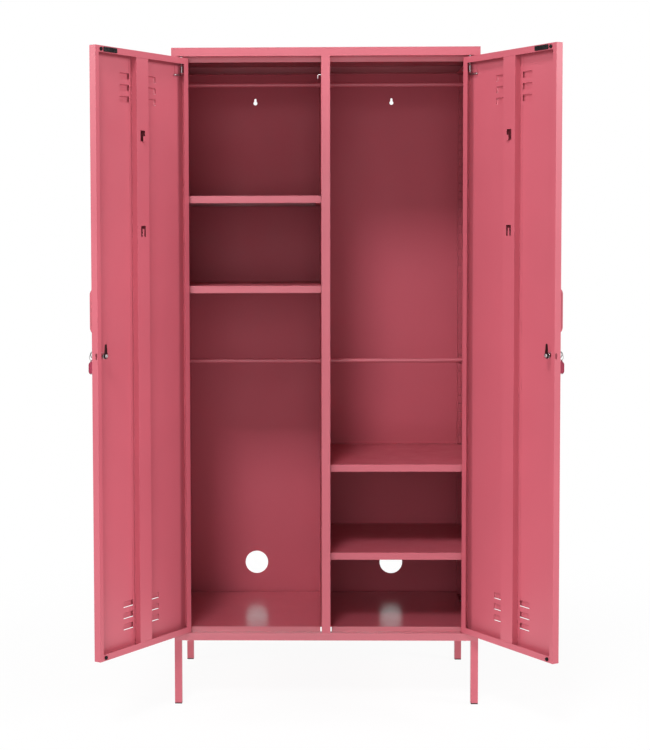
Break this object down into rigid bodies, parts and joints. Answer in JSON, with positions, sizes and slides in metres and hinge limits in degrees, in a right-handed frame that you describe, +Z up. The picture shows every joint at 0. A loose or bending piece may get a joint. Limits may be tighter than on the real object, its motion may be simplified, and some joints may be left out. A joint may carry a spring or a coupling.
{
  "type": "locker cabinet",
  "caption": "Tall sheet-steel storage cabinet on square legs, with louvred locking doors either side of a middle post, lift-out shelves and hanging rails.",
  "frame": {"origin": "on the floor, under the middle of the cabinet's body", "axes": "+X to the right seen from the front, -Y out of the front, +Z up"},
  "size_m": [1.2389, 0.8315, 1.83],
  "materials": {
    "powder_coat": "satin powder coat",
    "shelf_coat": "satin powder coat",
    "handle_coat": "satin powder coat",
    "zinc_steel": "bright zinc plate",
    "lock_chrome": "polished",
    "black_rubber": "matt",
    "black_plastic": "matt",
    "fob_plastic": "gloss"
  },
  "bodies": {
    "cabinet": {"top_panel": "powder_coat", "base_pan": "powder_coat", "left_side_panel": "powder_coat", "right_side_panel": "powder_coat", "back_panel": "powder_coat", "centre_post": "powder_coat", "divider_panel": "powder_coat", "slotted_uprights": "powder_coat", "front_left_leg": "powder_coat", "front_right_leg": "powder_coat", "rear_left_leg": "powder_coat", "rear_right_leg": "powder_coat", "foot_caps": "black_plastic", "leg_bolts": "zinc_steel", "shelf_clips": "powder_coat", "left_upper_rail": "powder_coat", "left_lower_rail": "powder_coat", "right_upper_rail": "powder_coat", "right_lower_rail": "powder_coat", "rail_sockets": "powder_coat", "panel_screws": "zinc_steel", "post_hook": "zinc_steel", "lower_hinge_pins": "zinc_steel", "upper_hinge_bushes": "black_plastic"},
    "left_upper_shelf": {"left_upper_shelf": "shelf_coat"},
    "left_lower_shelf": {"left_lower_shelf": "shelf_coat"},
    "right_upper_shelf": {"right_upper_shelf": "shelf_coat"},
    "right_lower_shelf": {"right_lower_shelf": "shelf_coat"},
    "left_door": {"left_door_panel": "powder_coat", "left_door_stiffener": "powder_coat", "left_door_handle": "handle_coat", "left_hinge_bracket": "powder_coat", "left_hinge_spring": "zinc_steel", "left_lower_hinge_bush": "black_plastic", "left_lock_body": "lock_chrome", "left_lock_nut": "zinc_steel", "left_door_bumpers": "black_rubber", "left_magnet_catch": "black_plastic"},
    "left_bolt": {"left_hinge_bolt": "zinc_steel"},
    "left_lock_core": {"left_lock_barrel": "lock_chrome", "left_lock_cam": "zinc_steel"},
    "left_key": {"left_key": "lock_chrome"},
    "left_ring": {"left_key_ring": "lock_chrome"},
    "left_fob": {"left_key_fob": "fob_plastic"},
    "right_door": {"right_door_panel": "powder_coat", "right_door_stiffener": "powder_coat", "right_door_handle": "handle_coat", "right_hinge_bracket": "powder_coat", "right_hinge_spring": "zinc_steel", "right_lower_hinge_bush": "black_plastic", "right_lock_body": "lock_chrome", "right_lock_nut": "zinc_steel", "right_door_bumpers": "black_rubber", "right_magnet_catch": "black_plastic"},
    "right_bolt": {"right_hinge_bolt": "zinc_steel"},
    "right_lock_core": {"right_lock_barrel": "lock_chrome", "right_lock_cam": "zinc_steel"},
    "right_key": {"right_key": "lock_chrome"},
    "right_ring": {"right_key_ring": "lock_chrome"},
    "right_fob": {"right_key_fob": "fob_plastic"}
  },
  "joints": [
    {"name": "left_upper_shelf_lift", "type": "slide", "parent": "cabinet", "child": "left_upper_shelf", "axis": [0, 0, 1], "range_m": [0, 0.022]},
    {"name": "left_lower_shelf_lift", "type": "slide", "parent": "cabinet", "child": "left_lower_shelf", "axis": [0, 0, 1], "range_m": [0, 0.022]},
    {"name": "right_upper_shelf_lift", "type": "slide", "parent": "cabinet", "child": "right_upper_shelf", "axis": [0, 0, 1], "range_m": [0, 0.022]},
    {"name": "right_lower_shelf_lift", "type": "slide", "parent": "cabinet", "child": "right_lower_shelf", "axis": [0, 0, 1], "range_m": [0, 0.022]},
    {"name": "left_door_hinge", "type": "hinge", "parent": "cabinet", "child": "left_door", "pos_m": [-0.3965, -0.2455, 1], "axis": [0, 0, -1], "range_deg": [-123, 9.5]},
    {"name": "left_hinge_bolt_slide", "type": "slide", "parent": "left_door", "child": "left_bolt", "axis": [0, 0, -1], "range_m": [0, 0.012], "stiffness_N_per_m": 400, "springref_m": -0.004, "deforming": ["left_hinge_spring"]},
    {"name": "left_lock_turn", "type": "hinge", "parent": "left_door", "child": "left_lock_core", "pos_m": [-0.59308, -0.53994, 1.0015], "axis": [0.8387, -0.5446, 0], "range_deg": [0, 90]},
    {"name": "left_key_slide", "type": "slide", "parent": "left_lock_core", "child": "left_key", "axis": [-0.8387, 0.5446, 0], "range_m": [0, 0.02]},
    {"name": "left_ring_swing", "type": "hinge", "parent": "left_key", "child": "left_ring", "pos_m": [-0.61404, -0.52632, 1.0075], "axis": [0.5446, 0.8387, 0], "range_deg": [-8, 60]},
    {"name": "left_fob_swing", "type": "hinge", "parent": "left_ring", "child": "left_fob", "pos_m": [-0.61404, -0.52632, 0.9868], "axis": [0.5446, 0.8387, 0], "range_deg": [-8, 45]},
    {"name": "right_door_hinge", "type": "hinge", "parent": "cabinet", "child": "right_door", "pos_m": [0.3965, -0.2455, 1], "axis": [0, 0, 1], "range_deg": [-121.1, 11]},
    {"name": "right_hinge_bolt_slide", "type": "slide", "parent": "right_door", "child": "right_bolt", "axis": [0, 0, -1], "range_m": [0, 0.012], "stiffness_N_per_m": 400, "springref_m": -0.004, "deforming": ["right_hinge_spring"]},
    {"name": "right_lock_turn", "type": "hinge", "parent": "right_door", "child": "right_lock_core", "pos_m": [0.58321, -0.54629, 1.0015], "axis": [0.8563, 0.5165, 0], "range_deg": [0, 90]},
    {"name": "right_key_slide", "type": "slide", "parent": "right_lock_core", "child": "right_key", "axis": [0.8563, 0.5165, 0], "range_m": [0, 0.02]},
    {"name": "right_ring_swing", "type": "hinge", "parent": "right_key", "child": "right_ring", "pos_m": [0.60461, -0.53338, 1.0075], "axis": [0.5165, -0.8563, 0], "range_deg": [-8, 60]},
    {"name": "right_fob_swing", "type": "hinge", "parent": "right_ring", "child": "right_fob", "pos_m": [0.60461, -0.53338, 0.9868], "axis": [0.5165, -0.8563, 0], "range_deg": [-8, 45]}
  ]
}
